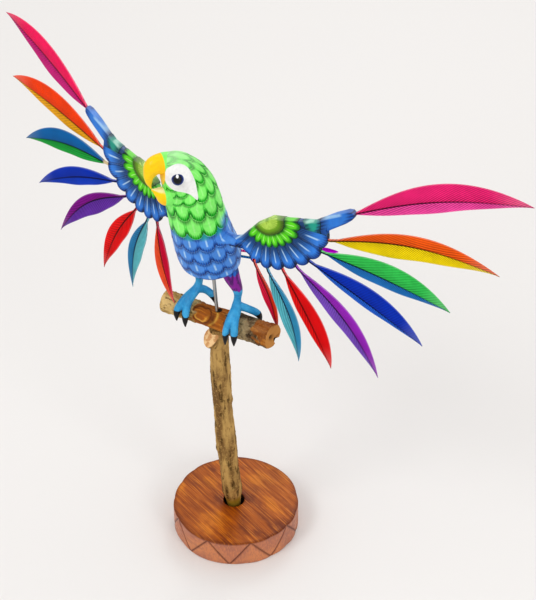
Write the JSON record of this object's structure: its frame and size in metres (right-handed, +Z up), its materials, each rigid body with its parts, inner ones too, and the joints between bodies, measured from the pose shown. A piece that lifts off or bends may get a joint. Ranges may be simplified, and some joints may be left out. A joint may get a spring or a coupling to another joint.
{
  "type": "carved parrot figure on a perch stand",
  "caption": "Carved and painted wooden parrot with spread wings of loose leaf-shaped feathers, standing on a branch perch above a round base.",
  "frame": {"origin": "middle of the base's underside", "axes": "+Z up, the bird's body faces -Y, +X is the bird's left"},
  "size_m": [0.5362, 0.256, 0.456],
  "materials": {
    "stained_wood": "reddish-orange stain with straight grain, dark rim, satin",
    "bark": "olive-tan bark with knots, dry",
    "peeled_branch": "bark at the ends, whittled orange-brown in the middle, dry",
    "steel": "plain drawn rod",
    "bare_wood": "bare pale wood, dry",
    "body_paint": "green scale feathers that turn blue on the belly, yellow beak, satin acrylic paint",
    "eye_gloss": "black with a dark blue rim, glossy",
    "leg_paint": "sky blue with purple thighs and black claws, satin acrylic paint",
    "wing_paint": "green petals and blue petals in rows, satin acrylic paint",
    "feather_pink": "satin acrylic paint with fine brushed lines, over carved wood",
    "feather_orange": "satin acrylic paint with fine brushed lines, over carved wood",
    "feather_green": "satin acrylic paint with fine brushed lines, over carved wood",
    "feather_blue": "satin acrylic paint with fine brushed lines, over carved wood",
    "feather_purple": "satin acrylic paint with fine brushed lines, over carved wood",
    "feather_red": "satin acrylic paint with fine brushed lines, over carved wood",
    "feather_cyan": "satin acrylic paint with fine brushed lines, over carved wood",
    "feather_coral": "satin acrylic paint with fine brushed lines, over carved wood"
  },
  "bodies": {
    "stand": {"base_disc": "stained_wood", "post_screw_1": "steel", "post_screw_2": "steel", "post": "bark", "perch": "peeled_branch", "support_rod": "steel"},
    "bird": {"parrot_body": "body_paint", "eye_left": "eye_gloss", "eye_right": "eye_gloss", "leg_left": "leg_paint", "leg_right": "leg_paint"},
    "wing_left": {"wing_left": "wing_paint", "wing_peg_left": "bare_wood"},
    "feather_left_pink": {"feather_left_pink": "feather_pink"},
    "feather_left_orange": {"feather_left_orange": "feather_orange"},
    "feather_left_green": {"feather_left_green": "feather_green"},
    "feather_left_blue": {"feather_left_blue": "feather_blue"},
    "feather_left_purple": {"feather_left_purple": "feather_purple"},
    "feather_left_red": {"feather_left_red": "feather_red"},
    "feather_left_cyan": {"feather_left_cyan": "feather_cyan"},
    "feather_left_inner": {"feather_left_inner": "feather_coral"},
    "wing_right": {"wing_right": "wing_paint", "wing_peg_right": "bare_wood"},
    "feather_right_pink": {"feather_right_pink": "feather_pink"},
    "feather_right_orange": {"feather_right_orange": "feather_orange"},
    "feather_right_green": {"feather_right_green": "feather_green"},
    "feather_right_blue": {"feather_right_blue": "feather_blue"},
    "feather_right_purple": {"feather_right_purple": "feather_purple"},
    "feather_right_red": {"feather_right_red": "feather_red"},
    "feather_right_cyan": {"feather_right_cyan": "feather_cyan"},
    "feather_right_inner": {"feather_right_inner": "feather_coral"},
    "tail_purple": {"tail_purple": "feather_purple"},
    "tail_pink": {"tail_pink": "feather_pink"},
    "tail_blue": {"tail_blue": "feather_blue"},
    "tail_green": {"tail_green": "feather_green"},
    "tail_orange": {"tail_orange": "feather_orange"}
  },
  "joints": [
    {"name": "bird_lift", "type": "slide", "parent": "stand", "child": "bird", "axis": [-0.0448, -0.0301, 0.9985], "range_m": [0, 0.05]},
    {"name": "wing_left_pull", "type": "slide", "parent": "bird", "child": "wing_left", "axis": [0.9923, 0.124, 0], "range_m": [0, 0.016]},
    {"name": "feather_left_pink_pull", "type": "slide", "parent": "wing_left", "child": "feather_left_pink", "axis": [0.9204, 0.3161, 0.2301], "range_m": [0, 0.01]},
    {"name": "feather_left_orange_pull", "type": "slide", "parent": "wing_left", "child": "feather_left_orange", "axis": [0.969, 0.2471, 0.0072], "range_m": [0, 0.01]},
    {"name": "feather_left_green_pull", "type": "slide", "parent": "wing_left", "child": "feather_left_green", "axis": [0.9732, 0.1319, -0.1885], "range_m": [0, 0.01]},
    {"name": "feather_left_blue_pull", "type": "slide", "parent": "wing_left", "child": "feather_left_blue", "axis": [0.9085, 0.0823, -0.4097], "range_m": [0, 0.01]},
    {"name": "feather_left_purple_pull", "type": "slide", "parent": "wing_left", "child": "feather_left_purple", "axis": [0.7226, -0.005, -0.6912], "range_m": [0, 0.01]},
    {"name": "feather_left_red_pull", "type": "slide", "parent": "wing_left", "child": "feather_left_red", "axis": [0.4778, 0.0375, -0.8777], "range_m": [0, 0.01]},
    {"name": "feather_left_cyan_pull", "type": "slide", "parent": "wing_left", "child": "feather_left_cyan", "axis": [0.2928, 0.0619, -0.9542], "range_m": [0, 0.01]},
    {"name": "feather_left_inner_pull", "type": "slide", "parent": "wing_left", "child": "feather_left_inner", "axis": [-0.0154, 0.3351, -0.9421], "range_m": [0, 0.01]},
    {"name": "wing_right_pull", "type": "slide", "parent": "bird", "child": "wing_right", "axis": [-0.9923, 0.124, 0], "range_m": [0, 0.016]},
    {"name": "feather_right_pink_pull", "type": "slide", "parent": "wing_right", "child": "feather_right_pink", "axis": [-0.9204, 0.3161, 0.2301], "range_m": [0, 0.01]},
    {"name": "feather_right_orange_pull", "type": "slide", "parent": "wing_right", "child": "feather_right_orange", "axis": [-0.9665, 0.2465, 0.0719], "range_m": [0, 0.01]},
    {"name": "feather_right_green_pull", "type": "slide", "parent": "wing_right", "child": "feather_right_green", "axis": [-0.9732, 0.1319, -0.1885], "range_m": [0, 0.01]},
    {"name": "feather_right_blue_pull", "type": "slide", "parent": "wing_right", "child": "feather_right_blue", "axis": [-0.9085, 0.0823, -0.4097], "range_m": [0, 0.01]},
    {"name": "feather_right_purple_pull", "type": "slide", "parent": "wing_right", "child": "feather_right_purple", "axis": [-0.7639, -0.0053, -0.6453], "range_m": [0, 0.01]},
    {"name": "feather_right_red_pull", "type": "slide", "parent": "wing_right", "child": "feather_right_red", "axis": [-0.4778, 0.0375, -0.8777], "range_m": [0, 0.01]},
    {"name": "feather_right_cyan_pull", "type": "slide", "parent": "wing_right", "child": "feather_right_cyan", "axis": [-0.2928, 0.0619, -0.9542], "range_m": [0, 0.01]},
    {"name": "feather_right_inner_pull", "type": "slide", "parent": "wing_right", "child": "feather_right_inner", "axis": [0.3229, -0.1473, -0.9349], "range_m": [0, 0.01]},
    {"name": "tail_purple_pull", "type": "slide", "parent": "bird", "child": "tail_purple", "axis": [0, 0.8387, -0.5446], "range_m": [0, 0.01]},
    {"name": "tail_pink_pull", "type": "slide", "parent": "bird", "child": "tail_pink", "axis": [0.1219, 0.8324, -0.5406], "range_m": [0, 0.01]},
    {"name": "tail_blue_pull", "type": "slide", "parent": "bird", "child": "tail_blue", "axis": [-0.1219, 0.8324, -0.5406], "range_m": [0, 0.01]},
    {"name": "tail_green_pull", "type": "slide", "parent": "bird", "child": "tail_green", "axis": [0.2419, 0.8138, -0.5285], "range_m": [0, 0.01]},
    {"name": "tail_orange_pull", "type": "slide", "parent": "bird", "child": "tail_orange", "axis": [-0.2419, 0.8138, -0.5285], "range_m": [0, 0.01]}
  ]
}
